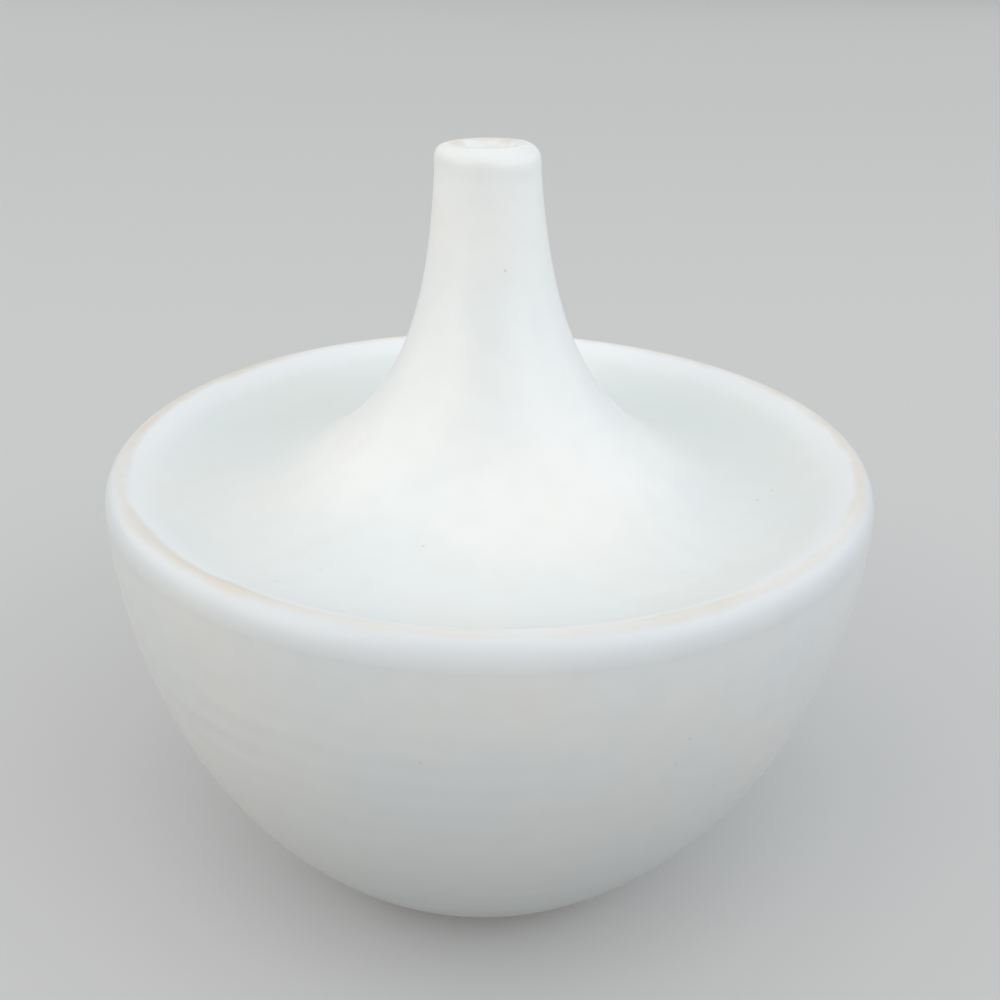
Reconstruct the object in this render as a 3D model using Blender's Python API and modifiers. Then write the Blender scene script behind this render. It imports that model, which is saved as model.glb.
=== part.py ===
"""Bud vase in glazed stoneware: a deep thrown bowl closed by a dished deck that sweeps up into a slim neck.

Metres, +Z up. The origin is on the table under the middle of the bowl's widest ring. Every piece is
turned about one axis, from an outline of (radius, height) points, and then leans a little, as the
thrown pot does. The pieces seat in each other with a bed of slip in each joint.
"""

import math

import bpy

MM = 0.001

# Bowl, whose belly is a superellipse that would close a little below the table
RIM_HEIGHT = 97.5 * MM
BOWL_RADIUS = 75.1 * MM
WIDEST_BELOW_RIM = 7.9 * MM
BELLY_CLOSES_BELOW_TABLE = 9.5 * MM
SIDE_FULLNESS = 1.81
BASE_FULLNESS = 1.98
BOWL_WALL = 5.0 * MM
FLOOR_THICKNESS = 7.0 * MM

# Rounded rim, and the ledge inside it that carries the deck
RIM_ROUND_WIDTH = 3.3 * MM
RIM_ROUND_DROP = 5.5 * MM
LEDGE_DEPTH = 5.0 * MM
LEDGE_WIDTH = 4.1 * MM
LEDGE_HEIGHT = 5.0 * MM
LEDGE_BLEND = 7.0 * MM

# Foot ring
FOOT_HEIGHT = 5.0 * MM
FOOT_INSET = 6.0 * MM
FOOT_WIDTH = 7.5 * MM
FOOT_SEAT_DEPTH = 1.5 * MM
FOOT_EDGE = 1.0 * MM

# Deck, a ring dished between the rim and the neck
DECK_WALL = 4.7 * MM
TROUGH_FROM_RIM = 15.8 * MM
TROUGH_DEPTH = 7.0 * MM
RIM_TURN_IN = 2.0 * MM
TROUGH_OUTER_SWEEP = 5.0 * MM
TROUGH_INNER_SWEEP = 12.0 * MM
NECK_SWEEP = 12.0 * MM

# Neck, an exponential flare outside and inside
LIP_ABOVE_RIM = 57.8 * MM
JOIN_ABOVE_RIM = 3.6 * MM
NECK_FOOT_RADIUS = 28.5 * MM
TIP_RADIUS = 9.45 * MM
FLARE_RISE = 19.0 * MM
MOUTH_RADIUS = 3.8 * MM
LIP_ROUND_OUT = 3.1 * MM
LIP_ROUND_DROP = 3.2 * MM
LIP_DIP_DROP = 2.8 * MM

# Spigot under the neck, which drops into the deck's hole
SHOULDER_WIDTH = 2.1 * MM
SPIGOT_WALL = 2.6 * MM
SPIGOT_LENGTH = 6.4 * MM

# Slip beds, and the gap between pieces that meet
SLIP_WIDTH = 1.2 * MM
SLIP_DEPTH = 1.2 * MM
SEAT_GAP = 0.3 * MM

# How far the two thrown halves stand out of plumb, to +X going up the bowl and to -X going up the neck
BOWL_LEAN = math.radians(0.9)
NECK_LEAN = math.radians(1.4)

# Fineness of the turned surfaces
TURN_STEPS = 64
BELLY_STEPS = 12
WALL_STEPS = 9
ROUND_STEPS = 4
DECK_STEPS = 6
NECK_STEPS = 11
SMOOTH_BELOW = math.radians(32.0)

# Sizes that follow from those above
WIDEST_HEIGHT = RIM_HEIGHT - WIDEST_BELOW_RIM
BELLY_DROP = WIDEST_HEIGHT + BELLY_CLOSES_BELOW_TABLE
RIM_RADIUS = BOWL_RADIUS - RIM_ROUND_WIDTH
LEDGE_TOP = RIM_HEIGHT - LEDGE_DEPTH
LEDGE_INNER_RADIUS = RIM_RADIUS - LEDGE_WIDTH
DECK_EDGE_RADIUS = RIM_RADIUS - SEAT_GAP
DECK_REGISTER_RADIUS = LEDGE_INNER_RADIUS - SEAT_GAP
TROUGH_RADIUS = RIM_RADIUS - TROUGH_FROM_RIM
JOIN_HEIGHT = RIM_HEIGHT + JOIN_ABOVE_RIM
LIP_HEIGHT = RIM_HEIGHT + LIP_ABOVE_RIM
NECK_SEAT_HEIGHT = JOIN_HEIGHT + SEAT_GAP
DECK_HOLE_RADIUS = NECK_FOOT_RADIUS - SHOULDER_WIDTH
SPIGOT_RADIUS = DECK_HOLE_RADIUS - SLIP_WIDTH - 2.0 * SEAT_GAP
SPIGOT_BORE_RADIUS = SPIGOT_RADIUS - SPIGOT_WALL


def lean_at(height):
    """Sideways drift of the turning axis: nothing at the widest ring, more towards the foot and the lip."""
    above_widest = height - WIDEST_HEIGHT
    if above_widest < 0.0:
        return above_widest * math.tan(BOWL_LEAN)
    return -above_widest * math.tan(NECK_LEAN)


def spread(start, end, steps):
    """Evenly spaced values from start to end, both included."""
    return [start + (end - start) * step / steps for step in range(steps + 1)]


def quarter_round(corner_radius, corner_height, width, drop, top_first):
    """Quarter ellipse that is level at its top, corner_height, and upright at corner_radius.

    The width is negative where the round faces the axis.
    """
    angles = spread(0.0, math.pi / 2.0, ROUND_STEPS)
    points = [
        (corner_radius - width * (1.0 - math.sin(turn)), corner_height - drop * (1.0 - math.cos(turn)))
        for turn in angles
    ]
    return points if top_first else points[::-1]


def bezier(start, start_handle, end_handle, end, steps):
    """Points along one cubic Bezier curve."""
    points = []
    for along in spread(0.0, 1.0, steps):
        back = 1.0 - along
        weights = (back**3, 3.0 * back**2 * along, 3.0 * back * along**2, along**3)
        knots = (start, start_handle, end_handle, end)
        radius = sum(weight * knot[0] for weight, knot in zip(weights, knots))
        height = sum(weight * knot[1] for weight, knot in zip(weights, knots))
        points.append((radius, height))
    return points


def sunk_below(surface, depth):
    """The same outline moved square to itself, down into the clay. The surface runs outwards."""
    points = []
    for index, (radius, height) in enumerate(surface):
        before = surface[max(index - 1, 0)]
        after = surface[min(index + 1, len(surface) - 1)]
        along_radius = after[0] - before[0]
        along_height = after[1] - before[1]
        length = math.hypot(along_radius, along_height)
        points.append((radius + depth * along_height / length, height - depth * along_radius / length))
    return points


def between_radii(outline, inner, outer):
    """The part of an outline running outwards that lies between two radii, cut exactly at both."""

    def at_radius(radius):
        for (r0, z0), (r1, z1) in zip(outline, outline[1:]):
            if r0 <= radius <= r1:
                return (radius, z0 + (z1 - z0) * (radius - r0) / (r1 - r0))
        nearest = outline[0] if radius < outline[0][0] else outline[-1]
        return (radius, nearest[1])

    inside = [point for point in outline if inner < point[0] < outer]
    return [at_radius(inner), *inside, at_radius(outer)]


def belly_radius(height, inset=0.0):
    """Radius of the belly at a height, or of its inner face where the wall is the inset."""
    drop = max(WIDEST_HEIGHT - height, 0.0) / (BELLY_DROP - inset)
    return (BOWL_RADIUS - inset) * (1.0 - drop**BASE_FULLNESS) ** (1.0 / SIDE_FULLNESS)


def flare_radius(height, foot_radius, top_radius):
    """Radius of the neck's exponential flare, from foot_radius at the join to top_radius at the lip."""
    fade = math.exp(-(height - JOIN_HEIGHT) / FLARE_RISE)
    fade_at_lip = math.exp(-(LIP_HEIGHT - JOIN_HEIGHT) / FLARE_RISE)
    share = (fade - fade_at_lip) / (1.0 - fade_at_lip)
    return top_radius + (foot_radius - top_radius) * share


def foot_radii():
    """Inner and outer radius of the foot ring, set in from the edge of the bowl's base."""
    outer = belly_radius(FOOT_HEIGHT) - FOOT_INSET
    return outer - FOOT_WIDTH, outer


def slip_radii(inner, outer):
    """Inner and outer radius of a slip bead in the middle of a seat."""
    middle = (inner + outer) / 2.0
    return middle - SLIP_WIDTH / 2.0, middle + SLIP_WIDTH / 2.0


def deck_surface():
    """Top of the deck, from the neck's foot out through the trough to the rim's crest."""
    slope = -(NECK_FOOT_RADIUS - TIP_RADIUS) / FLARE_RISE
    slope /= 1.0 - math.exp(-(LIP_HEIGHT - JOIN_HEIGHT) / FLARE_RISE)
    steepness = math.hypot(1.0, slope)
    foot = (NECK_FOOT_RADIUS, JOIN_HEIGHT)
    foot_handle = (foot[0] - NECK_SWEEP * slope / steepness, foot[1] - NECK_SWEEP / steepness)
    trough = (TROUGH_RADIUS, RIM_HEIGHT - TROUGH_DEPTH)
    trough_in = (trough[0] - TROUGH_INNER_SWEEP, trough[1])
    trough_out = (trough[0] + TROUGH_OUTER_SWEEP, trough[1])
    crest = (DECK_EDGE_RADIUS, RIM_HEIGHT)
    crest_handle = (crest[0] - RIM_TURN_IN, crest[1])
    sweep = bezier(foot, foot_handle, trough_in, trough, DECK_STEPS)
    rise = bezier(trough, trough_out, crest_handle, crest, DECK_STEPS)
    return sweep + rise[1:]


def clay_material(name, colour, roughness):
    """Fired clay or glaze: a Principled shader with one colour."""
    material = bpy.data.materials.new(name)
    material.use_nodes = True
    shader = material.node_tree.nodes["Principled BSDF"]
    shader.inputs["Base Color"].default_value = (*colour, 1.0)
    shader.inputs["Roughness"].default_value = roughness
    shader.inputs["Metallic"].default_value = 0.0
    material.diffuse_color = (*colour, 1.0)
    return material


def turned_mesh(name, outline, is_loop):
    """Mesh of an outline turned once about Z."""
    count = len(outline)
    edges = [(index, index + 1) for index in range(count - 1)]
    if is_loop:
        edges.append((count - 1, 0))
    profile = bpy.data.meshes.new(name + "_outline")
    profile.from_pydata([(radius, 0.0, height) for radius, height in outline], edges, [])
    blank = bpy.data.objects.new(name + "_outline", profile)
    bpy.context.scene.collection.objects.link(blank)
    screw = blank.modifiers.new("turn", "SCREW")
    screw.axis = "Z"
    screw.angle = 2.0 * math.pi
    screw.steps = TURN_STEPS
    screw.render_steps = TURN_STEPS
    screw.use_merge_vertices = True
    screw.merge_threshold = 0.00005
    graph = bpy.context.evaluated_depsgraph_get()
    mesh = bpy.data.meshes.new_from_object(blank.evaluated_get(graph))
    bpy.data.objects.remove(blank, do_unlink=True)
    bpy.data.meshes.remove(profile)
    return mesh


def thrown_piece(name, outline, is_loop, material, parts):
    """One clay piece: turned, let lean by its height, shaded smooth and given its material."""
    mesh = turned_mesh(name, outline, is_loop)
    mesh.name = name
    for vertex in mesh.vertices:
        vertex.co.x += lean_at(vertex.co.z)
    mesh.shade_smooth()
    mesh.set_sharp_from_angle(angle=SMOOTH_BELOW)
    mesh.materials.append(material)
    piece = bpy.data.objects.new(name, mesh)
    parts.objects.link(piece)
    return piece


def make_slip_bead(name, inner, outer, low, high, parts):
    """Ring of dried and fired slip, square in section because its groove or seat shapes it."""
    outline = [(outer, high), (outer, low), (inner, low), (inner, high)]
    slip = clay_material(name + "_slip", (0.55, 0.48, 0.38), 0.9)
    return thrown_piece(name, outline, True, slip, parts)


def make_foot_ring(parts):
    """Ring of bare clay that the vase stands on, seated in a groove under the bowl."""
    inner, outer = foot_radii()
    top = FOOT_HEIGHT + FOOT_SEAT_DEPTH - SEAT_GAP
    slip_inner, slip_outer = slip_radii(inner, outer)
    outline = [
        (outer, top),
        (outer, FOOT_EDGE),
        (outer - FOOT_EDGE, 0.0),
        (inner + FOOT_EDGE, 0.0),
        (inner, FOOT_EDGE),
        (inner, top),
        (slip_inner - SEAT_GAP, top),
        (slip_inner - SEAT_GAP, top - SLIP_DEPTH),
        (slip_outer + SEAT_GAP, top - SLIP_DEPTH),
        (slip_outer + SEAT_GAP, top),
    ]
    clay = clay_material("bare_buff_stoneware", (0.47, 0.36, 0.25), 0.85)
    return thrown_piece("foot_ring", outline, True, clay, parts)


def make_foot_slip(parts):
    """Bead of slip in the groove on top of the foot ring."""
    inner, outer = slip_radii(*foot_radii())
    top = FOOT_HEIGHT + FOOT_SEAT_DEPTH - SEAT_GAP
    return make_slip_bead("foot_slip_bead", inner, outer, top - SLIP_DEPTH + SEAT_GAP, top, parts)


def belly_heights():
    """Heights down the belly, closer together towards the base, where it turns in."""
    drop = WIDEST_HEIGHT - FOOT_HEIGHT
    turns = spread(0.0, math.pi / 2.0, BELLY_STEPS)
    return [WIDEST_HEIGHT - drop * math.sin(turn) for turn in turns]


def make_bowl(parts):
    """Thrown lower shell: floor, belly, rounded rim, and the ledge that the deck sits on."""
    floor_height = FOOT_HEIGHT + FLOOR_THICKNESS
    ledge_bottom = LEDGE_TOP - LEDGE_HEIGHT
    wall_top = ledge_bottom - LEDGE_BLEND
    wall_heights = spread(floor_height, wall_top, WALL_STEPS)
    inside = [(belly_radius(height, BOWL_WALL), height) for height in wall_heights]
    slip_inner, slip_outer = slip_radii(LEDGE_INNER_RADIUS, RIM_RADIUS)
    ledge = [
        (LEDGE_INNER_RADIUS, ledge_bottom),
        (LEDGE_INNER_RADIUS, LEDGE_TOP),
        (slip_inner - SEAT_GAP, LEDGE_TOP),
        (slip_inner - SEAT_GAP, LEDGE_TOP - SLIP_DEPTH),
        (slip_outer + SEAT_GAP, LEDGE_TOP - SLIP_DEPTH),
        (slip_outer + SEAT_GAP, LEDGE_TOP),
        (RIM_RADIUS, LEDGE_TOP),
    ]
    rim = quarter_round(BOWL_RADIUS, RIM_HEIGHT, RIM_ROUND_WIDTH, RIM_ROUND_DROP, True)
    belly = [(belly_radius(height), height) for height in belly_heights()]
    foot_inner, foot_outer = foot_radii()
    seat_top = FOOT_HEIGHT + FOOT_SEAT_DEPTH
    base = [
        (foot_outer + SEAT_GAP, FOOT_HEIGHT),
        (foot_outer + SEAT_GAP, seat_top),
        (foot_inner - SEAT_GAP, seat_top),
        (foot_inner - SEAT_GAP, FOOT_HEIGHT),
        (0.0, FOOT_HEIGHT),
    ]
    outline = [(0.0, floor_height), *inside, *ledge, *rim, *belly, *base]
    glaze = clay_material("white_satin_glaze", (0.72, 0.73, 0.71), 0.38)
    return thrown_piece("bowl", outline, False, glaze, parts)


def make_deck(parts):
    """Thrown ring that closes the bowl: its edge sits on the ledge, and its hole takes the neck."""
    surface = deck_surface()
    underside = between_radii(sunk_below(surface, DECK_WALL), DECK_HOLE_RADIUS, DECK_REGISTER_RADIUS)
    edge_bottom = LEDGE_TOP + SEAT_GAP
    outline = [
        (DECK_EDGE_RADIUS, edge_bottom),
        (DECK_REGISTER_RADIUS, edge_bottom),
        *underside[::-1],
        (DECK_HOLE_RADIUS, JOIN_HEIGHT),
        *surface,
    ]
    glaze = clay_material("celadon_tinted_glaze", (0.70, 0.75, 0.73), 0.36)
    return thrown_piece("deck", outline, True, glaze, parts)


def make_rim_slip(parts):
    """Bead of slip in the groove on the bowl's ledge."""
    inner, outer = slip_radii(LEDGE_INNER_RADIUS, RIM_RADIUS)
    low = LEDGE_TOP - SLIP_DEPTH + SEAT_GAP
    return make_slip_bead("rim_slip_bead", inner, outer, low, LEDGE_TOP, parts)


def make_neck(parts):
    """Thrown neck: a flared tube with a rounded lip, and a spigot that drops into the deck."""
    round_bottom = LIP_HEIGHT - LIP_ROUND_DROP
    dip_bottom = LIP_HEIGHT - LIP_DIP_DROP
    tip = flare_radius(round_bottom, NECK_FOOT_RADIUS, TIP_RADIUS)
    bore = flare_radius(dip_bottom, SPIGOT_BORE_RADIUS, MOUTH_RADIUS)
    crest = tip - LIP_ROUND_OUT
    lip_outside = quarter_round(tip, LIP_HEIGHT, LIP_ROUND_OUT, LIP_ROUND_DROP, True)
    lip_inside = quarter_round(bore, LIP_HEIGHT, bore - crest, LIP_DIP_DROP, False)
    outside = [
        (flare_radius(height, NECK_FOOT_RADIUS, TIP_RADIUS), height)
        for height in spread(round_bottom, NECK_SEAT_HEIGHT, NECK_STEPS)
    ]
    inside = [
        (flare_radius(height, SPIGOT_BORE_RADIUS, MOUTH_RADIUS), height)
        for height in spread(NECK_SEAT_HEIGHT, dip_bottom, NECK_STEPS)
    ]
    spigot_bottom = NECK_SEAT_HEIGHT - SPIGOT_LENGTH
    spigot = [
        (SPIGOT_RADIUS, NECK_SEAT_HEIGHT),
        (SPIGOT_RADIUS, spigot_bottom),
        (SPIGOT_BORE_RADIUS, spigot_bottom),
    ]
    outline = [*lip_outside, *outside[1:], *spigot, *inside[:-1], *lip_inside[:-1]]
    glaze = clay_material("pale_satin_glaze", (0.73, 0.74, 0.72), 0.36)
    return thrown_piece("neck", outline, True, glaze, parts)


def make_neck_slip(parts):
    """Collar of slip in the narrow space between the spigot and the deck's hole."""
    inner = SPIGOT_RADIUS + SEAT_GAP
    outer = DECK_HOLE_RADIUS - SEAT_GAP
    low = JOIN_HEIGHT - SPIGOT_LENGTH / 2.0
    return make_slip_bead("neck_slip_bead", inner, outer, low, JOIN_HEIGHT, parts)


def clear_scene():
    """Empty the scene, keeping the file that it is in."""
    for item in list(bpy.data.objects):
        bpy.data.objects.remove(item, do_unlink=True)


def make_vase():
    """All the pieces, from the table up."""
    parts = bpy.data.collections.new("bud_vase")
    bpy.context.scene.collection.children.link(parts)
    make_foot_ring(parts)
    make_foot_slip(parts)
    make_bowl(parts)
    make_rim_slip(parts)
    make_deck(parts)
    make_neck_slip(parts)
    make_neck(parts)


clear_scene()
make_vase()
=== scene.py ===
import math

import bpy
from mathutils import Matrix, Vector, noise


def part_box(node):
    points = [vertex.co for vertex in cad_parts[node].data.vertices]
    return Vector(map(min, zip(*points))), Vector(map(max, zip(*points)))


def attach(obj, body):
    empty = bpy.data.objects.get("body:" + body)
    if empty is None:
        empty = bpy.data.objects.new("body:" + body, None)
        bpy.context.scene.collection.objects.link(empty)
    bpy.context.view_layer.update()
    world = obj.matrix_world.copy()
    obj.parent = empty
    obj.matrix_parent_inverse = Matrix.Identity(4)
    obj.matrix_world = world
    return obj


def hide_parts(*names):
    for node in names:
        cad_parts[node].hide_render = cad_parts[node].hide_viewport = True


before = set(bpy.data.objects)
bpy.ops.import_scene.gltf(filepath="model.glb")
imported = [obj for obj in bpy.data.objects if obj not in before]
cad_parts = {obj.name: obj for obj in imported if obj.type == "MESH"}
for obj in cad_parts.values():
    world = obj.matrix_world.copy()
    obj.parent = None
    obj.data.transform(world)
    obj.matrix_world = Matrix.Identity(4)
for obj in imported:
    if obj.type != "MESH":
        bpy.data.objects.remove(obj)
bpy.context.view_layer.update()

bpy.ops.object.select_all(action="DESELECT")


# Foot ring
# A ring of buff stoneware, turned on the wheel and luted under the bowl with slip. It carries the whole
# vase and stands on the kiln shelf, so it is left without glaze, and its edges are sponged soft.
MM = 0.001
WHEEL_STEPS = 256
WELD = 0.002 * MM
SMOOTH_BELOW = math.radians(34.0)
WIDEST_HEIGHT = 89.6 * MM
BOWL_LEAN = math.radians(0.9)
NECK_LEAN = math.radians(1.4)
LEAN_EASE = 15.0 * MM
BOWL_RADIUS = 75.1 * MM
ROUND_ERROR = 0.12 * MM
RIM_WAVE = 0.12 * MM
WARP_STARTS = 60.0 * MM
WARP_IS_FULL = 97.0 * MM
OVAL_TURN = 0.7
WAVE_TURN = 1.9
FOOT_WIDTH = 7.5 * MM
FOOT_SOFTENING = 1.2 * MM
SLIP_WIDTH = 1.2 * MM
SEAT_GAP = 0.3 * MM


def lean_at(height):
    """Sideways drift of the pot's axis at a height, eased through the bend at the widest ring."""
    below_slope = math.tan(BOWL_LEAN)
    above_slope = -math.tan(NECK_LEAN)
    above = (height - WIDEST_HEIGHT) / LEAN_EASE
    if above <= -1.0:
        return below_slope * above * LEAN_EASE
    if above >= 1.0:
        return above_slope * above * LEAN_EASE
    return LEAN_EASE * (above_slope * (above + 1.0) ** 2 - below_slope * (above - 1.0) ** 2) / 4.0


def eased_outline(corners, steps=6):
    """Outline through corners of (radius, height, reach), where reach is how far each rounding runs."""
    points = []
    for index, (radius, height, reach) in enumerate(corners):
        corner = Vector((radius, height))
        if reach == 0.0:
            points.append((radius, height))
            continue
        before = Vector(corners[index - 1][:2])
        after = Vector(corners[(index + 1) % len(corners)][:2])
        start = corner + (before - corner).normalized() * reach
        end = corner + (after - corner).normalized() * reach
        for step in range(steps + 1):
            along = step / steps
            points.append(tuple(start.lerp(corner, along).lerp(corner.lerp(end, along), along)))
    return points


def throw_on_wheel(name, outline):
    """Piece spun about the wheel's axis from an outline of (radius, height) points."""
    radius, height = outline[0]
    bpy.ops.object.select_all(action="DESELECT")
    bpy.ops.mesh.primitive_plane_add(size=MM, location=(radius, 0.0, height))
    bpy.ops.object.transform_apply(location=True, rotation=False, scale=False)
    piece = bpy.context.object
    piece.name = name
    piece.data.name = name
    bpy.ops.object.mode_set(mode="EDIT")
    bpy.ops.mesh.merge(type="CENTER")
    for before, after in zip(outline, outline[1:]):
        step = (after[0] - before[0], 0.0, after[1] - before[1])
        bpy.ops.mesh.extrude_region_move(TRANSFORM_OT_translate={"value": step})
    bpy.ops.mesh.select_all(action="SELECT")
    bpy.ops.mesh.spin(steps=WHEEL_STEPS, angle=2.0 * math.pi, center=(0.0, 0.0, 0.0), axis=(0.0, 0.0, 1.0))
    bpy.ops.mesh.select_all(action="SELECT")
    bpy.ops.mesh.remove_doubles(threshold=WELD)
    bpy.ops.mesh.normals_make_consistent(inside=False)
    bpy.ops.object.mode_set(mode="OBJECT")
    return piece


def ease_in(value, start, end):
    """Nothing before start, one after end, and a smooth rise between them."""
    share = min(max((value - start) / (end - start), 0.0), 1.0)
    return share * share * (3.0 - 2.0 * share)


def settle_clay(piece):
    """Give a turned piece the pot's lean, a rim that isn't quite round, and a rim that isn't quite level."""
    for vertex in piece.data.vertices:
        x, y, height = vertex.co
        angle = math.atan2(y, x)
        outwards = math.hypot(x, y) / BOWL_RADIUS
        high_up = ease_in(height, WARP_STARTS, WARP_IS_FULL)
        swell = 1.0 + ROUND_ERROR / BOWL_RADIUS * high_up * math.sin(2.0 * angle + OVAL_TURN)
        vertex.co.x = x * swell + lean_at(height)
        vertex.co.y = y * swell
        vertex.co.z = height + RIM_WAVE * high_up * outwards**2 * math.sin(3.0 * angle + WAVE_TURN)


def smooth_by_angle(piece):
    """Shade a piece smooth, apart from its real edges."""
    bpy.ops.object.select_all(action="DESELECT")
    piece.select_set(True)
    bpy.context.view_layer.objects.active = piece
    bpy.ops.object.shade_smooth_by_angle(angle=SMOOTH_BELOW)


def add_node(tree, kind, sockets=None, **settings):
    """Add one node with its settings, and feed its sockets with values or with other nodes' outputs."""
    node = tree.nodes.new(kind)
    for setting, value in settings.items():
        setattr(node, setting, value)
    for socket, value in (sockets or {}).items():
        if isinstance(value, bpy.types.NodeSocket):
            tree.links.new(value, node.inputs[socket])
        else:
            node.inputs[socket].default_value = value
    return node.outputs


def linear(hex_colour):
    """Linear RGBA from an sRGB hex colour."""
    channels = [int(hex_colour[at : at + 2], 16) / 255.0 for at in (1, 3, 5)]
    return [c / 12.92 if c <= 0.04045 else ((c + 0.055) / 1.055) ** 2.4 for c in channels] + [1.0]


def bare_stoneware():
    """Buff stoneware fired without glaze: matt, sandy and toasted, with a few specks of iron."""
    material = bpy.data.materials.new("bare buff stoneware")
    material.use_nodes = True
    tree = material.node_tree
    shader = tree.nodes["Principled BSDF"]
    place = add_node(tree, "ShaderNodeTexCoord")["Object"]

    # The kiln's flame toasts the clay more in one place than in another, over about a centimetre
    toast = add_node(
        tree, "ShaderNodeTexNoise", {"Vector": place, "Scale": 1.0 / (9.0 * MM), "Detail": 3.0}
    )["Fac"]
    toasting = add_node(tree, "ShaderNodeMapRange", {"Value": toast, "From Min": 0.35, "From Max": 0.65})[0]
    body = add_node(
        tree,
        "ShaderNodeMix",
        {0: toasting, 6: linear("#c3ab86"), 7: linear("#a98a62")},
        data_type="RGBA",
    )[2]

    # Sand in the clay, in grains of about half a millimetre
    sand = add_node(
        tree, "ShaderNodeTexNoise", {"Vector": place, "Scale": 1.0 / (0.45 * MM), "Detail": 2.0}
    )["Fac"]
    sandiness = add_node(
        tree,
        "ShaderNodeMapRange",
        {"Value": sand, "From Min": 0.3, "From Max": 0.7, "To Min": 0.86, "To Max": 1.1},
    )[0]
    sandy = add_node(tree, "ShaderNodeVectorMath", {0: body, "Scale": sandiness}, operation="SCALE")[0]

    # Specks of iron up to half a millimetre wide, some 5 mm apart
    grit = add_node(tree, "ShaderNodeTexVoronoi", {"Vector": place, "Scale": 1.0 / (2.6 * MM)})["Distance"]
    iron = add_node(
        tree,
        "ShaderNodeMapRange",
        {"Value": grit, "From Min": 0.07, "From Max": 0.11, "To Min": 0.8, "To Max": 0.0},
    )[0]
    clay = add_node(tree, "ShaderNodeMix", {0: iron, 6: sandy, 7: linear("#6d4c33")}, data_type="RGBA")[2]

    grain = add_node(
        tree, "ShaderNodeBump", {"Height": sand, "Strength": 0.5, "Distance": 0.08 * MM}
    )["Normal"]
    tree.links.new(clay, shader.inputs["Base Color"])
    tree.links.new(grain, shader.inputs["Normal"])
    shader.inputs["Roughness"].default_value = 0.86
    shader.inputs["IOR"].default_value = 1.5
    return material


foot_low, foot_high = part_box("foot_ring")
foot_outer = foot_high.y
foot_inner = foot_outer - FOOT_WIDTH
foot_top = foot_high.z
groove_middle = (foot_outer + foot_inner) / 2.0
groove_half = SLIP_WIDTH / 2.0 + SEAT_GAP
foot_corners = [
    (foot_outer, foot_top, 0.0),
    (foot_outer, foot_low.z, FOOT_SOFTENING),
    (foot_inner, foot_low.z, FOOT_SOFTENING),
    (foot_inner, foot_top, 0.0),
    (groove_middle - groove_half, foot_top, 0.0),
    (groove_middle - groove_half, foot_top - SLIP_WIDTH, 0.0),
    (groove_middle + groove_half, foot_top - SLIP_WIDTH, 0.0),
    (groove_middle + groove_half, foot_top, 0.0),
    (foot_outer, foot_top, 0.0),
]
clay = bare_stoneware()
foot = throw_on_wheel("turned_foot_ring", eased_outline(foot_corners))
settle_clay(foot)
smooth_by_angle(foot)
foot.data.materials.append(clay)
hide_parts("foot_ring")
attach(foot, "root")


# Bowl
# The lower shell: floor, full belly and rolled rim, thrown in one piece of buff stoneware. Faint throwing
# lines wind up its belly. With deck and neck it was dipped in a satin white glaze that covers every joint.
RIM_HEIGHT = 97.5 * MM
BELLY_CLOSES_BELOW_TABLE = 9.5 * MM
SIDE_FULLNESS = 1.81
BASE_FULLNESS = 1.98
BOWL_WALL = 5.0 * MM
FLOOR_THICKNESS = 7.0 * MM
BASE_HEIGHT = 5.0 * MM
BASE_SOFTENING = 1.6 * MM
BELLY_END_SHARE = 0.6
RIM_ROUND_WIDTH = 3.3 * MM
RIM_ROUND_DROP = 5.5 * MM
RIM_RADIUS = BOWL_RADIUS - RIM_ROUND_WIDTH
RIM_BREAK_RADIUS = 71.9 * MM
LEDGE_DEPTH = 5.0 * MM
LEDGE_WIDTH = 4.1 * MM
LEDGE_HEIGHT = 5.0 * MM
LEDGE_BLEND = 7.0 * MM
FOOT_SEAT_DEPTH = 1.5 * MM
GLAZE_THICKNESS = 0.3 * MM
GLAZE_STOPS_OUTSIDE = 33.4 * MM
GLAZE_STOPS_INSIDE = 20.4 * MM
THROWING_PITCH = 5.6 * MM
THROWING_DEPTH = 0.035 * MM
THROWING_DRIFT = 26.0 * MM
LINES_START = (12.0 * MM, 24.0 * MM)
LINES_END = (74.0 * MM, 86.0 * MM)
UNLINED_RADIUS = 30.0 * MM
FINGER_PRESSURE = 0.6
FINGER_WANDER = 2.0
# Painted shade: the share by which the white is painted darker outside the bowl
OUTSIDE_PAINTED_SHADE = -0.015
BREAK_DRYNESS = 0.12
PIT_DEPTH = -1.5
LIP_CREST_RADIUS = 5.6 * MM
LIP_CREST_HEIGHT = 155.3 * MM
BELLY_STEPS = 96
WALL_STEPS = 24
ROUND_STEPS = 28


def spread(start, end, steps):
    """Evenly spaced values from start to end, both included."""
    return [start + (end - start) * step / steps for step in range(steps + 1)]


def belly_radius(height, inset=0.0):
    """Radius of the belly at a height, or of its inner face where the wall is the inset."""
    belly_drop = WIDEST_HEIGHT + BELLY_CLOSES_BELOW_TABLE - inset
    drop = max(WIDEST_HEIGHT - height, 0.0) / belly_drop
    return (BOWL_RADIUS - inset) * (1.0 - drop**BASE_FULLNESS) ** (1.0 / SIDE_FULLNESS)


def quarter_round(crest, width, drop, steps, fullness=2.0):
    """Rounding from a level crest out, or in where the width is negative, and down to upright.

    A fullness of 2 gives a quarter ellipse, and more gives a squarer shoulder.
    """
    return [
        (
            crest[0] + width * math.sin(turn) ** (2.0 / fullness),
            crest[1] - drop * (1.0 - math.cos(turn) ** (2.0 / fullness)),
        )
        for turn in spread(0.0, math.pi / 2.0, steps)
    ]


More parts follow.
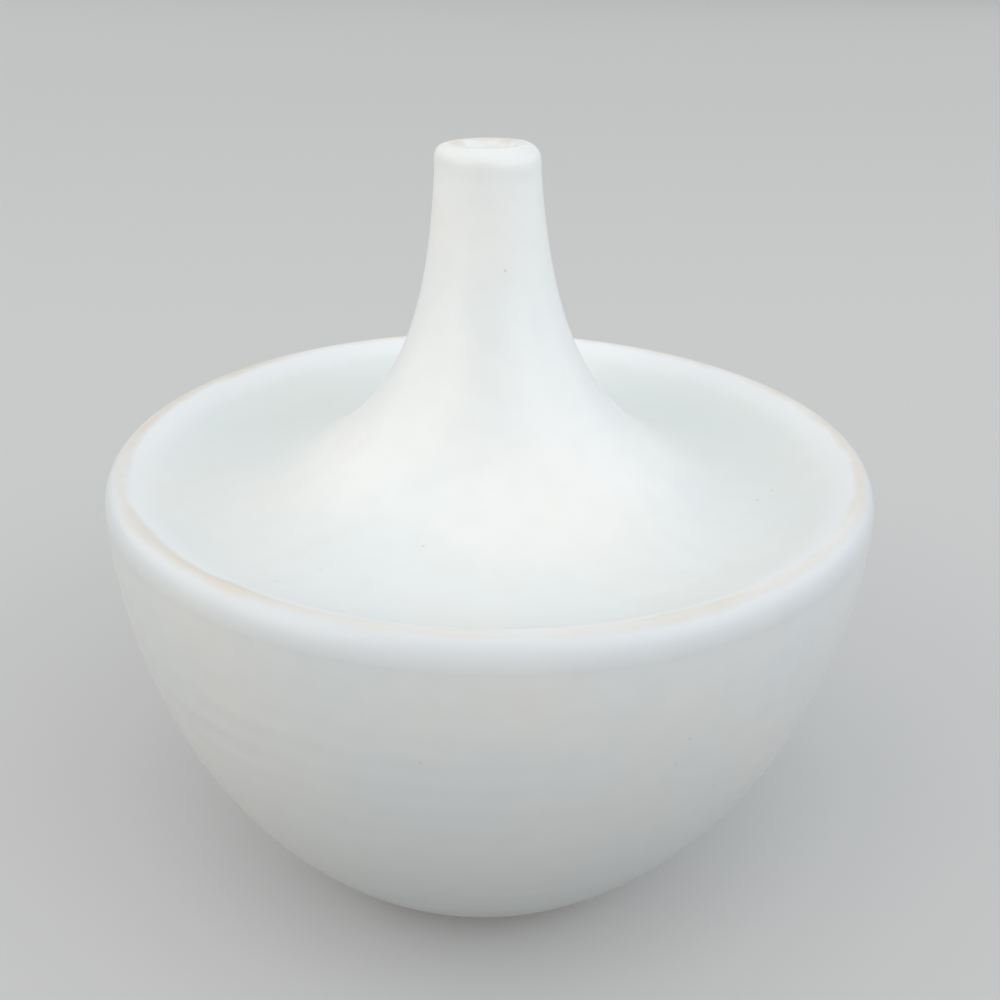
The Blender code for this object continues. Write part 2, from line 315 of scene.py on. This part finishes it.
def bowl_outline():
    """From the middle of the floor up the inside, over the ledge and the rim, and down to the foot."""
    floor_height = BASE_HEIGHT + FLOOR_THICKNESS
    ledge_top = RIM_HEIGHT - LEDGE_DEPTH
    ledge_bottom = ledge_top - LEDGE_HEIGHT
    ledge_inner = RIM_RADIUS - LEDGE_WIDTH
    slip_middle = (ledge_inner + RIM_RADIUS) / 2.0
    slip_half = SLIP_WIDTH / 2.0 + SEAT_GAP
    wall = [
        (belly_radius(height, BOWL_WALL), height)
        for height in spread(floor_height, ledge_bottom - LEDGE_BLEND, WALL_STEPS)
    ]
    ledge = [
        (ledge_inner, ledge_bottom),
        (ledge_inner, ledge_top),
        (slip_middle - slip_half, ledge_top),
        (slip_middle - slip_half, ledge_top - SLIP_WIDTH),
        (slip_middle + slip_half, ledge_top - SLIP_WIDTH),
        (slip_middle + slip_half, ledge_top),
        (RIM_RADIUS, ledge_top),
    ]
    rim = quarter_round((RIM_RADIUS, RIM_HEIGHT), RIM_ROUND_WIDTH, RIM_ROUND_DROP, ROUND_STEPS)
    belly_low = BASE_HEIGHT + BELLY_END_SHARE * BASE_SOFTENING
    belly = [
        (belly_radius(height), height)
        for height in (
            WIDEST_HEIGHT - (WIDEST_HEIGHT - belly_low) * math.sin(turn)
            for turn in spread(0.0, math.pi / 2.0, BELLY_STEPS)
        )
    ]
    clay_face = BASE_HEIGHT + GLAZE_THICKNESS
    seat_top = BASE_HEIGHT + FOOT_SEAT_DEPTH
    base = [
        (belly_radius(belly_low), belly_low, 0.0),
        (belly_radius(BASE_HEIGHT), BASE_HEIGHT, BASE_SOFTENING),
        (GLAZE_STOPS_OUTSIDE, BASE_HEIGHT, GLAZE_THICKNESS),
        (GLAZE_STOPS_OUTSIDE, clay_face, 0.0),
        (foot_outer + SEAT_GAP, clay_face, 0.0),
        (foot_outer + SEAT_GAP, seat_top, 0.0),
        (foot_inner - SEAT_GAP, seat_top, 0.0),
        (foot_inner - SEAT_GAP, clay_face, 0.0),
        (GLAZE_STOPS_INSIDE, clay_face, 0.0),
        (GLAZE_STOPS_INSIDE, BASE_HEIGHT, GLAZE_THICKNESS),
        (0.0, BASE_HEIGHT, 0.0),
    ]
    return [(0.0, floor_height), *wall, *ledge, *rim, *belly, *eased_outline(base)[1:]]


def press_throwing_lines(piece):
    """Wind a shallow helix of finger lines up the belly, stronger in some places than in others."""
    for vertex in piece.data.vertices:
        x, y, height = vertex.co
        radius = math.hypot(x, y)
        if radius < UNLINED_RADIUS:
            continue
        on_belly = ease_in(height, *LINES_START) * (1.0 - ease_in(height, *LINES_END))
        angle = math.atan2(y, x)
        drift = noise.noise(vertex.co / THROWING_DRIFT)
        strength = THROWING_DEPTH * on_belly * (FINGER_PRESSURE + drift)
        turned = 2.0 * math.pi * height / THROWING_PITCH + angle + FINGER_WANDER * drift
        ripple = strength * math.sin(turned)
        vertex.co.x += ripple * x / radius
        vertex.co.y += ripple * y / radius


def satin_white_glaze():
    """Satin white stoneware glaze over buff clay: a glassy coat some 0.5 mm thick, made white by tin.

    The pot was dipped head down. Its white is painted lighter up the neck as painted light, and painted
    shade darkens the lip's rounding and the outside of the bowl. The glaze runs thin over the rim and the
    lip, where the clay warms it to buff, and gathers in a cooler roll on both sides of the rim, partly
    painted sheen, painted lighter inside the rim and darker outside it. It pools deep in the deck's trough,
    where a trace of iron tints it celadon, and painted shade darkens the pool most at the back.
    """
    material = bpy.data.materials.new("satin white glaze")
    material.use_nodes = True
    tree = material.node_tree
    shader = tree.nodes["Principled BSDF"]
    place = add_node(tree, "ShaderNodeTexCoord")["Object"]
    height = add_node(tree, "ShaderNodeSeparateXYZ", {0: place})[2]
    level = add_node(tree, "ShaderNodeVectorMath", {0: place, 1: (1.0, 1.0, 0.0)}, operation="MULTIPLY")[0]
    radius = add_node(tree, "ShaderNodeVectorMath", {0: level}, operation="LENGTH")["Value"]

    # The glaze's thickness drifts over a few centimetres, so it is a little warmer here and there
    drift = add_node(
        tree, "ShaderNodeTexNoise", {"Vector": place, "Scale": 1.0 / (30.0 * MM), "Detail": 1.0}
    )["Fac"]
    warmth = add_node(tree, "ShaderNodeMapRange", {"Value": drift, "From Min": 0.3, "From Max": 0.7})[0]
    white = add_node(
        tree, "ShaderNodeMix", {0: warmth, 6: linear("#e4e9ea"), 7: linear("#e9eae8")}, data_type="RGBA"
    )[2]

    # Crystals a few millimetres apart cloud the melt, so the white isn't quite even
    clouds = add_node(
        tree, "ShaderNodeTexNoise", {"Vector": place, "Scale": 1.0 / (5.0 * MM), "Detail": 2.0}
    )["Fac"]
    clouding = add_node(
        tree,
        "ShaderNodeMapRange",
        {"Value": clouds, "From Min": 0.3, "From Max": 0.7, "To Min": 0.985, "To Max": 1.01},
    )[0]
    clouded = add_node(tree, "ShaderNodeVectorMath", {0: white, "Scale": clouding}, operation="SCALE")[0]

    # Painted light: the white is painted lighter up the neck. Painted shade: it is painted a little darker
    # on the lip's rounding and outside the bowl
    painted_light_up_neck = add_node(
        tree,
        "ShaderNodeMapRange",
        {"Value": height, "From Min": 112.0 * MM, "From Max": 150.0 * MM, "To Min": 1.0, "To Max": 1.12},
    )[0]
    painted_shade_on_lip = add_node(
        tree,
        "ShaderNodeMapRange",
        {"Value": height, "From Min": 151.5 * MM, "From Max": 154.5 * MM, "To Min": 1.0, "To Max": 0.93},
    )[0]
    painted_light_and_shade_on_neck = add_node(tree, "ShaderNodeMath", {0: painted_light_up_neck, 1: painted_shade_on_lip}, operation="MULTIPLY")[0]
    beyond_rim = add_node(
        tree, "ShaderNodeMapRange", {"Value": radius, "From Min": 71.4 * MM, "From Max": 72.6 * MM}
    )[0]
    under_rim = add_node(
        tree, "ShaderNodeMapRange", {"Value": height, "From Min": 90.0 * MM, "From Max": 88.0 * MM}
    )[0]
    outside = add_node(tree, "ShaderNodeMath", {0: beyond_rim, 1: under_rim}, operation="MAXIMUM")[0]
    # The white, with painted light up the neck and painted shade on the lip and outside the bowl
    painted_light_and_shade = add_node(
        tree, "ShaderNodeMath", {0: outside, 1: OUTSIDE_PAINTED_SHADE, 2: painted_light_and_shade_on_neck}, operation="MULTIPLY_ADD"
    )[0]
    white_lit_and_shaded = add_node(tree, "ShaderNodeVectorMath", {0: clouded, "Scale": painted_light_and_shade}, operation="SCALE")[0]

    # Pooled glaze in the trough, deeper below the rim's height and inside the rim. Painted shade makes it
    # darker towards the back, behind the neck
    sunk = add_node(
        tree,
        "ShaderNodeMapRange",
        {"Value": height, "From Min": 98.5 * MM, "From Max": 90.5 * MM},
        interpolation_type="SMOOTHSTEP",
    )[0]
    within = add_node(
        tree,
        "ShaderNodeMapRange",
        {"Value": radius, "From Min": 70.5 * MM, "From Max": 64.0 * MM, "To Max": 0.7},
        interpolation_type="SMOOTHSTEP",
    )[0]
    to_back = add_node(tree, "ShaderNodeSeparateXYZ", {0: place})[1]
    painted_shade_to_back = add_node(
        tree,
        "ShaderNodeMapRange",
        {"Value": to_back, "From Min": -35.0 * MM, "From Max": 40.0 * MM, "To Min": 0.15, "To Max": 1.0},
        interpolation_type="SMOOTHSTEP",
    )[0]
    trough = add_node(tree, "ShaderNodeMath", {0: sunk, 1: within}, operation="MULTIPLY")[0]
    pool_and_painted_shade = add_node(tree, "ShaderNodeMath", {0: trough, 1: painted_shade_to_back}, operation="MULTIPLY")[0]
    pool = add_node(
        tree, "ShaderNodeMix", {0: pool_and_painted_shade, 6: white_lit_and_shaded, 7: linear("#dae3e1")}, data_type="RGBA"
    )[2]

    # How far a point lies from the rim's crest, with a wander, because melted glaze doesn't flow evenly
    from_crest = add_node(tree, "ShaderNodeMath", {0: radius, 1: RIM_BREAK_RADIUS}, operation="SUBTRACT")[0]
    below_crest = add_node(tree, "ShaderNodeMath", {0: height, 1: RIM_HEIGHT}, operation="SUBTRACT")[0]
    off_crest = add_node(tree, "ShaderNodeCombineXYZ", {0: from_crest, 1: below_crest})[0]
    crest_distance = add_node(tree, "ShaderNodeVectorMath", {0: off_crest}, operation="LENGTH")["Value"]
    wander = add_node(
        tree, "ShaderNodeTexNoise", {"Vector": place, "Scale": 1.0 / (9.0 * MM), "Detail": 3.0}
    )["Fac"]
    wandering = add_node(
        tree,
        "ShaderNodeMapRange",
        {"Value": wander, "From Min": 0.3, "From Max": 0.7, "To Min": -0.45 * MM, "To Max": 0.45 * MM},
    )[0]
    crest_reach = add_node(tree, "ShaderNodeMath", {0: crest_distance, 1: wandering}, operation="ADD")[0]

    # The cooler roll of glaze beside the crest, partly painted sheen. Painted light makes it whiter inside
    # the rim, and painted shade makes it darker outside it
    roll = add_node(
        tree,
        "ShaderNodeMapRange",
        {"Value": crest_reach, "From Min": 8.0 * MM, "From Max": 2.5 * MM, "To Max": 0.85},
        interpolation_type="SMOOTHSTEP",
    )[0]
    roll_lit_and_shaded = add_node(
        tree, "ShaderNodeMix", {0: outside, 6: linear("#e9edf0"), 7: linear("#d9dee2")}, data_type="RGBA"
    )[2]
    rolled_and_painted = add_node(tree, "ShaderNodeMix", {0: roll, 6: pool, 7: roll_lit_and_shaded}, data_type="RGBA")[2]

    # The buff break on the crest: strong at the left and the right, and almost gone in stretches in front
    thin = add_node(
        tree,
        "ShaderNodeMapRange",
        {"Value": crest_reach, "From Min": 1.9 * MM, "From Max": 0.2 * MM},
        interpolation_type="SMOOTHSTEP",
    )[0]
    stretch = add_node(
        tree, "ShaderNodeTexNoise", {"Vector": place, "Scale": 1.0 / (26.0 * MM), "Detail": 3.0}
    )["Fac"]
    showing = add_node(
        tree,
        "ShaderNodeMapRange",
        {"Value": stretch, "From Min": 0.36, "From Max": 0.6, "To Min": 0.3, "To Max": 0.95},
    )[0]
    to_right = add_node(tree, "ShaderNodeSeparateXYZ", {0: place})[0]
    off_middle = add_node(tree, "ShaderNodeMath", {0: to_right}, operation="ABSOLUTE")[0]
    sidewards = add_node(
        tree,
        "ShaderNodeMapRange",
        {"Value": off_middle, "From Min": 10.0 * MM, "From Max": 48.0 * MM, "To Min": 0.5, "To Max": 1.0},
        interpolation_type="SMOOTHSTEP",
    )[0]
    break_share = add_node(tree, "ShaderNodeMath", {0: showing, 1: sidewards}, operation="MULTIPLY")[0]
    rim_break = add_node(tree, "ShaderNodeMath", {0: thin, 1: break_share}, operation="MULTIPLY")[0]
    rimmed = add_node(
        tree, "ShaderNodeMix", {0: rim_break, 6: rolled_and_painted, 7: linear("#dbd5ca")}, data_type="RGBA"
    )[2]

    # The same break on the lip's inner edge, cream in front and a little pinker at the back
    lip_middle = (lean_at(LIP_CREST_HEIGHT), 0.0, 0.0)
    from_lip_axis = add_node(
        tree, "ShaderNodeVectorMath", {0: level, 1: lip_middle}, operation="DISTANCE"
    )["Value"]
    off_lip = add_node(
        tree, "ShaderNodeMath", {0: from_lip_axis, 1: LIP_CREST_RADIUS}, operation="SUBTRACT"
    )[0]
    under_lip = add_node(tree, "ShaderNodeMath", {0: height, 1: LIP_CREST_HEIGHT}, operation="SUBTRACT")[0]
    off_lip_crest = add_node(tree, "ShaderNodeCombineXYZ", {0: off_lip, 1: under_lip})[0]
    lip_distance = add_node(tree, "ShaderNodeVectorMath", {0: off_lip_crest}, operation="LENGTH")["Value"]
    lip_reach = add_node(tree, "ShaderNodeMath", {0: lip_distance, 1: wandering}, operation="ADD")[0]
    lip_thin = add_node(
        tree,
        "ShaderNodeMapRange",
        {"Value": lip_reach, "From Min": 2.2 * MM, "From Max": 0.6 * MM},
        interpolation_type="SMOOTHSTEP",
    )[0]
    lip_patches = add_node(
        tree, "ShaderNodeTexNoise", {"Vector": place, "Scale": 1.0 / (6.0 * MM), "Detail": 2.0}
    )["Fac"]
    lip_showing = add_node(
        tree,
        "ShaderNodeMapRange",
        {"Value": lip_patches, "From Min": 0.4, "From Max": 0.58, "To Min": 0.1, "To Max": 0.7},
    )[0]
    lip_break = add_node(tree, "ShaderNodeMath", {0: lip_thin, 1: lip_showing}, operation="MULTIPLY")[0]
    pinkness = add_node(
        tree, "ShaderNodeMapRange", {"Value": to_back, "From Min": -2.0 * MM, "From Max": 2.0 * MM}
    )[0]
    lip_colour = add_node(
        tree, "ShaderNodeMix", {0: pinkness, 6: linear("#e6e1d4"), 7: linear("#dccfc7")}, data_type="RGBA"
    )[2]
    lipped = add_node(
        tree, "ShaderNodeMix", {0: lip_break, 6: rimmed, 7: lip_colour}, data_type="RGBA"
    )[2]

    # Pinholes, where gas broke through the melt and didn't heal: a few tenths of a millimetre across
    bubbles = add_node(tree, "ShaderNodeTexVoronoi", {"Vector": place, "Scale": 1.0 / (9.0 * MM)})
    pinhole = add_node(
        tree,
        "ShaderNodeMapRange",
        {"Value": bubbles["Distance"], "From Min": 0.04, "From Max": 0.02, "To Max": 0.35},
    )[0]
    finished = add_node(
        tree, "ShaderNodeMix", {0: pinhole, 6: lipped, 7: linear("#b2b3a8")}, data_type="RGBA"
    )[2]

    # Satin gloss, a little drier where the glaze is thin
    breaks = add_node(tree, "ShaderNodeMath", {0: rim_break, 1: lip_break}, operation="MAXIMUM")[0]
    gloss = add_node(
        tree,
        "ShaderNodeMapRange",
        {"Value": clouds, "From Min": 0.3, "From Max": 0.7, "To Min": 0.42, "To Max": 0.48},
    )[0]
    dryness = add_node(
        tree, "ShaderNodeMath", {0: breaks, 1: BREAK_DRYNESS, 2: gloss}, operation="MULTIPLY_ADD"
    )[0]

    # The skin's slight orange peel, some 4 mm from wave to wave, and the pinholes' pits
    peel = add_node(
        tree, "ShaderNodeTexNoise", {"Vector": place, "Scale": 1.0 / (4.0 * MM), "Detail": 0.0}
    )["Fac"]
    pitted = add_node(
        tree, "ShaderNodeMath", {0: pinhole, 1: PIT_DEPTH, 2: peel}, operation="MULTIPLY_ADD"
    )[0]
    skin = add_node(
        tree, "ShaderNodeBump", {"Height": pitted, "Strength": 0.5, "Distance": 0.02 * MM}
    )["Normal"]

    tree.links.new(finished, shader.inputs["Base Color"])
    tree.links.new(dryness, shader.inputs["Roughness"])
    tree.links.new(skin, shader.inputs["Normal"])
    shader.inputs["IOR"].default_value = 1.52

    # A thin clear skin of glass over the satin melt, which keeps the highlights crisp in their middle
    shader.inputs["Coat Weight"].default_value = 0.2
    shader.inputs["Coat Roughness"].default_value = 0.13
    return material


glaze = satin_white_glaze()
bowl = throw_on_wheel("thrown_bowl", bowl_outline())
settle_clay(bowl)
press_throwing_lines(bowl)
smooth_by_angle(bowl)
bowl.data.materials.append(glaze)
bowl.data.materials.append(clay)
for face in bowl.data.polygons:
    away = math.hypot(face.center.x - lean_at(face.center.z), face.center.y)
    under_foot = face.center.z < BASE_HEIGHT + 2.0 * FOOT_SEAT_DEPTH
    if under_foot and GLAZE_STOPS_INSIDE < away < GLAZE_STOPS_OUTSIDE:
        face.material_index = 1
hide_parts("bowl")
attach(bowl, "root")


# Deck
# A ring thrown from the same stoneware, which closes the bowl: its edge sits on the ledge inside the rim,
# and its hole takes the neck. It dishes into a shallow trough before it climbs into the neck's flare, and
# the glaze has run down into that trough.
DECK_WALL = 4.7 * MM
TROUGH_FROM_RIM = 17.8 * MM
TROUGH_DEPTH = 7.0 * MM
RIM_TURN_IN = 2.6 * MM
TROUGH_OUTER_SWEEP = 10.0 * MM
TROUGH_INNER_SWEEP = 9.0 * MM
NECK_SWEEP = 12.0 * MM
JOIN_ABOVE_RIM = 3.6 * MM
LIP_ABOVE_RIM = 57.8 * MM
NECK_FOOT_RADIUS = 28.5 * MM
TIP_RADIUS = 9.45 * MM
FLARE_RISE = 19.0 * MM
SHOULDER_WIDTH = 2.1 * MM
JOIN_HEIGHT = RIM_HEIGHT + JOIN_ABOVE_RIM
LIP_HEIGHT = RIM_HEIGHT + LIP_ABOVE_RIM
DECK_HOLE_RADIUS = NECK_FOOT_RADIUS - SHOULDER_WIDTH
DECK_STEPS = 60
RING_PITCH = 4.4 * MM
RING_DEPTH = 0.02 * MM
RING_DRIFT = 30.0 * MM
RINGS_START = (34.0 * MM, 42.0 * MM)
RINGS_END = (60.0 * MM, 66.0 * MM)


def curve(start, start_handle, end_handle, end, steps):
    """Points along one cubic Bezier curve."""
    knots = (start, start_handle, end_handle, end)
    points = []
    for along in spread(0.0, 1.0, steps):
        back = 1.0 - along
        weights = (back**3, 3.0 * back**2 * along, 3.0 * back * along**2, along**3)
        radius = sum(weight * knot[0] for weight, knot in zip(weights, knots))
        height = sum(weight * knot[1] for weight, knot in zip(weights, knots))
        points.append((radius, height))
    return points


def deck_surface():
    """Top of the deck, from the neck's flare out through the trough to the rim's crest."""
    flare_end = 1.0 - math.exp(-(LIP_HEIGHT - JOIN_HEIGHT) / FLARE_RISE)
    slope = -(NECK_FOOT_RADIUS - TIP_RADIUS) / FLARE_RISE / flare_end
    steepness = math.hypot(1.0, slope)
    foot = (NECK_FOOT_RADIUS, JOIN_HEIGHT)
    foot_handle = (foot[0] - NECK_SWEEP * slope / steepness, foot[1] - NECK_SWEEP / steepness)
    trough = (RIM_RADIUS - TROUGH_FROM_RIM, RIM_HEIGHT - TROUGH_DEPTH)
    trough_in = (trough[0] - TROUGH_INNER_SWEEP, trough[1])
    trough_out = (trough[0] + TROUGH_OUTER_SWEEP, trough[1])
    crest = (RIM_RADIUS, RIM_HEIGHT)
    crest_handle = (crest[0] - SEAT_GAP - RIM_TURN_IN, crest[1])
    climb = curve(foot, foot_handle, trough_in, trough, DECK_STEPS)
    return climb + curve(trough, trough_out, crest_handle, crest, DECK_STEPS)[1:]


def deck_underside(surface, inner, outer):
    """The deck's underside, one wall below its top, between the neck's hole and the ledge."""
    points = []
    for before, at, after in zip(surface, surface[1:], surface[2:]):
        along = (Vector(after) - Vector(before)).normalized()
        sunk = (at[0] + DECK_WALL * along.y, at[1] - DECK_WALL * along.x)
        if inner < sunk[0] < outer:
            points.append(sunk)
    return [(inner, points[0][1]), *points, (outer, points[-1][1])]


def press_deck_rings(piece):
    """Leave the potter's faint finger rings in the trough."""
    for vertex in piece.data.vertices:
        x, y, height = vertex.co
        radius = math.hypot(x, y)
        in_trough = ease_in(radius, *RINGS_START) * (1.0 - ease_in(radius, *RINGS_END))
        drift = noise.noise(vertex.co / RING_DRIFT)
        turned = 2.0 * math.pi * radius / RING_PITCH + math.atan2(y, x) + FINGER_WANDER * drift
        vertex.co.z += RING_DEPTH * in_trough * (FINGER_PRESSURE + drift) * math.sin(turned)


deck_edge = RIM_RADIUS - SEAT_GAP
deck_register = RIM_RADIUS - LEDGE_WIDTH - SEAT_GAP
deck_seat = RIM_HEIGHT - LEDGE_DEPTH + SEAT_GAP
deck_top = deck_surface()
deck_outline = [
    *deck_top,
    (deck_edge, RIM_HEIGHT - SEAT_GAP),
    (deck_edge, deck_seat),
    (deck_register, deck_seat),
    *deck_underside(deck_top, DECK_HOLE_RADIUS, deck_register)[::-1],
    (DECK_HOLE_RADIUS, JOIN_HEIGHT),
    deck_top[0],
]
deck = throw_on_wheel("dished_deck", deck_outline)
settle_clay(deck)
press_deck_rings(deck)
smooth_by_angle(deck)
deck.data.materials.append(glaze)
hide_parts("deck")
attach(deck, "root")


# Neck
# A slim tube of the same stoneware, thrown by itself. It flares to meet the deck, and its spigot drops into
# the deck's hole. Its lip was rounded with a wet finger, most at the front right, and its mouth takes one
# or two stems.
MOUTH_RADIUS = 3.8 * MM
LIP_ROUND_DROP = 4.5 * MM
LIP_FULLNESS = 4.2
LIP_DIP_DROP = 2.8 * MM
SPIGOT_WALL = 2.6 * MM
SPIGOT_LENGTH = 6.4 * MM
LIP_UNEVEN = 1.0 * MM
LIP_TILT = 0.018
FINGER_REACH = 25.0 * MM
FINGER_FULL = 1.0 * MM
FINGER_SIDE = math.radians(55.0)
FINGER_EDGE = 6.6 * MM
NECK_SEAT_HEIGHT = JOIN_HEIGHT + SEAT_GAP
SPIGOT_RADIUS = DECK_HOLE_RADIUS - SLIP_WIDTH - 2.0 * SEAT_GAP
SPIGOT_BORE_RADIUS = SPIGOT_RADIUS - SPIGOT_WALL
NECK_STEPS = 72
LIP_STEPS = 32


def flare_radius(height, foot_radius, top_radius):
    """Radius of the neck's exponential flare, from foot_radius at the join to top_radius at the lip."""
    fade = math.exp(-(height - JOIN_HEIGHT) / FLARE_RISE)
    fade_at_lip = math.exp(-(LIP_HEIGHT - JOIN_HEIGHT) / FLARE_RISE)
    share = (fade - fade_at_lip) / (1.0 - fade_at_lip)
    return top_radius + (foot_radius - top_radius) * share


def neck_outline():
    """From the lip's crest down the outside to the spigot, and up the bore to the crest again."""
    round_bottom = LIP_HEIGHT - LIP_ROUND_DROP
    dip_bottom = LIP_HEIGHT - LIP_DIP_DROP
    tip = flare_radius(round_bottom, NECK_FOOT_RADIUS, TIP_RADIUS)
    bore = flare_radius(dip_bottom, SPIGOT_BORE_RADIUS, MOUTH_RADIUS)
    crest = (LIP_CREST_RADIUS, LIP_HEIGHT)
    outside = [
        (flare_radius(height, NECK_FOOT_RADIUS, TIP_RADIUS), height)
        for height in spread(round_bottom, JOIN_HEIGHT, NECK_STEPS)
    ]
    inside = [
        (flare_radius(height, SPIGOT_BORE_RADIUS, MOUTH_RADIUS), height)
        for height in spread(NECK_SEAT_HEIGHT, dip_bottom, NECK_STEPS // 2)
    ]
    spigot = [
        (NECK_FOOT_RADIUS - SEAT_GAP, NECK_SEAT_HEIGHT),
        (SPIGOT_RADIUS, NECK_SEAT_HEIGHT),
        (SPIGOT_RADIUS, NECK_SEAT_HEIGHT - SPIGOT_LENGTH),
        (SPIGOT_BORE_RADIUS, NECK_SEAT_HEIGHT - SPIGOT_LENGTH),
    ]
    lip_outside = quarter_round(crest, tip - crest[0], LIP_ROUND_DROP, LIP_STEPS, LIP_FULLNESS)
    lip_inside = quarter_round(crest, bore - crest[0], LIP_DIP_DROP, LIP_STEPS)
    return [*lip_outside, *outside[1:], *spigot, *inside, *lip_inside[::-1][1:]]


def finger_the_lip(piece):
    """Round the lip further down towards the front right, and let it dip a little to the left."""
    for vertex in piece.data.vertices:
        x, y, height = vertex.co
        near_lip = ease_in(height, LIP_HEIGHT - FINGER_REACH, LIP_HEIGHT - FINGER_FULL)
        if near_lip == 0.0:
            continue
        to_front_right = max(math.cos(math.atan2(y, x) + FINGER_SIDE), 0.0)
        to_edge = ease_in(math.hypot(x, y), FINGER_EDGE, TIP_RADIUS)
        vertex.co.z -= near_lip * LIP_UNEVEN * to_front_right * to_edge
        vertex.co.z += near_lip * LIP_TILT * (x - TIP_RADIUS)


neck = throw_on_wheel("tapered_neck", neck_outline())
finger_the_lip(neck)
settle_clay(neck)
smooth_by_angle(neck)
neck.data.materials.append(glaze)
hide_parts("neck")
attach(neck, "root")


# Slip beads
# Three rings of the same clay, mixed thin and brushed into the joints before the glaze went on. The kiln
# fused them to the pieces on both sides. They lie sealed in the joints and carry no glaze.
def fired_slip():
    """Fired slip: stoneware clay without its sand, so it is paler, finer and chalk-matt."""
    material = bpy.data.materials.new("fired slip")
    material.use_nodes = True
    tree = material.node_tree
    shader = tree.nodes["Principled BSDF"]
    place = add_node(tree, "ShaderNodeTexCoord")["Object"]
    brushing = add_node(
        tree, "ShaderNodeTexNoise", {"Vector": place, "Scale": 1.0 / (1.5 * MM), "Detail": 3.0}
    )["Fac"]
    slip_colour = add_node(
        tree, "ShaderNodeMix", {0: brushing, 6: linear("#c9b797"), 7: linear("#b7a27e")}, data_type="RGBA"
    )[2]
    ridges = add_node(
        tree, "ShaderNodeBump", {"Height": brushing, "Strength": 0.4, "Distance": 0.1 * MM}
    )["Normal"]
    tree.links.new(slip_colour, shader.inputs["Base Color"])
    tree.links.new(ridges, shader.inputs["Normal"])
    shader.inputs["Roughness"].default_value = 0.92
    shader.inputs["IOR"].default_value = 1.5
    return material


slip = fired_slip()
for bead_name in ("foot_slip_bead", "rim_slip_bead", "neck_slip_bead"):
    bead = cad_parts[bead_name]
    bead.material_slots[0].material = slip


# Floor
# A plain pale board, painted matt, that the vase stands on. It reaches past the camera's view on every
# side, and it isn't part of the vase.
FLOOR_SIZE = 60.0


def painted_board():
    """Matt pale grey board paint. It throws up less light than it shows, so the belly keeps its shading."""
    material = bpy.data.materials.new("painted board")
    material.use_nodes = True
    tree = material.node_tree
    shader = tree.nodes["Principled BSDF"]
    ray = add_node(tree, "ShaderNodeLightPath")
    looked_at = add_node(
        tree, "ShaderNodeMath", {0: ray["Is Camera Ray"], 1: ray["Is Glossy Ray"]}, operation="MAXIMUM"
    )[0]
    seen = add_node(
        tree, "ShaderNodeMath", {0: looked_at, 1: ray["Is Transmission Ray"]}, operation="MAXIMUM"
    )[0]
    paint = add_node(
        tree, "ShaderNodeMix", {0: seen, 6: linear("#6c6c6c"), 7: linear("#c9caca")}, data_type="RGBA"
    )[2]
    tree.links.new(paint, shader.inputs["Base Color"])
    shader.inputs["Roughness"].default_value = 0.9
    shader.inputs["Specular IOR Level"].default_value = 0.2
    return material


bpy.ops.mesh.primitive_plane_add(size=FLOOR_SIZE, location=(0.0, 0.0, 0.0))
floor = bpy.context.object
floor.name = "floor"
floor.data.materials.append(painted_board())


# Light
# A soft even light from all round, a broad key on the right, a smaller and warmer fill on the left, a wide
# wall of light far out at each side that rounds the belly, and a small bright one above that gives a glint.
VASE_MIDDLE = (0.0, 0.0, 0.08)
SKY_STRENGTH = 0.73
sky = bpy.data.worlds.new("studio light")
sky.use_nodes = True
sky_shader = sky.node_tree.nodes["Background"]
sky_shader.inputs["Color"].default_value = linear("#fdfefe")
sky_shader.inputs["Strength"].default_value = SKY_STRENGTH
bpy.context.scene.world = sky


def softbox(name, place, aim, width, depth, brightness, hex_colour):
    """One soft lamp that faces its aim, as bright to look at as its brightness times white paper."""
    lamp = bpy.data.lights.new(name, "AREA")
    lamp.shape = "RECTANGLE"
    lamp.size = width
    lamp.size_y = depth
    lamp.energy = brightness * math.pi * width * depth
    lamp.color = linear(hex_colour)[:3]
    holder = bpy.data.objects.new(name, lamp)
    holder.visible_camera = False
    holder.location = place
    holder.rotation_euler = (Vector(place) - Vector(aim)).to_track_quat("Z", "Y").to_euler()
    bpy.context.scene.collection.objects.link(holder)


softbox("right softbox", (0.82, -0.82, 0.8), VASE_MIDDLE, 1.2, 1.0, 0.82, "#fafcff")
softbox("left softbox", (-0.85, -0.8, 0.55), VASE_MIDDLE, 0.8, 0.8, 0.86, "#fff3e2")
softbox("left side softbox", (-10.0, -1.5, 4.9), VASE_MIDDLE, 18.0, 9.0, 0.88, "#fffdfa")
softbox("right side softbox", (10.0, -1.5, 4.9), VASE_MIDDLE, 18.0, 9.0, 0.81, "#f3f7ff")
softbox("top strip", (0.0, -0.42, 1.25), (0.0, 0.0, 0.1), 0.3, 0.2, 2.0, "#ffffff")


# Camera
# It stands where the photograph was taken from: close in front, a hand above the rim, looking down.
# Its distance and its rise are measured from the middle of the rim.
VIEW_DISTANCE = 220.0 * MM
VIEW_RISE = math.radians(22.7)
VIEW_PITCH = math.radians(25.92)
VIEW_YAW = math.radians(0.49)
VIEW_ROLL = math.radians(0.97)
LENS = 38.9
camera = bpy.data.objects.new("camera", bpy.data.cameras.new("camera"))
camera.data.lens = LENS
camera.data.clip_start = 0.01
camera.matrix_world = (
    Matrix.Translation(
        (0.0, -VIEW_DISTANCE * math.cos(VIEW_RISE), RIM_HEIGHT + VIEW_DISTANCE * math.sin(VIEW_RISE))
    )
    @ Matrix.Rotation(-VIEW_YAW, 4, "Z")
    @ Matrix.Rotation(math.pi / 2.0 - VIEW_PITCH, 4, "X")
    @ Matrix.Rotation(VIEW_ROLL, 4, "Z")
)
bpy.context.scene.collection.objects.link(camera)
bpy.context.scene.camera = camera
bpy.context.scene.view_settings.view_transform = "Standard"
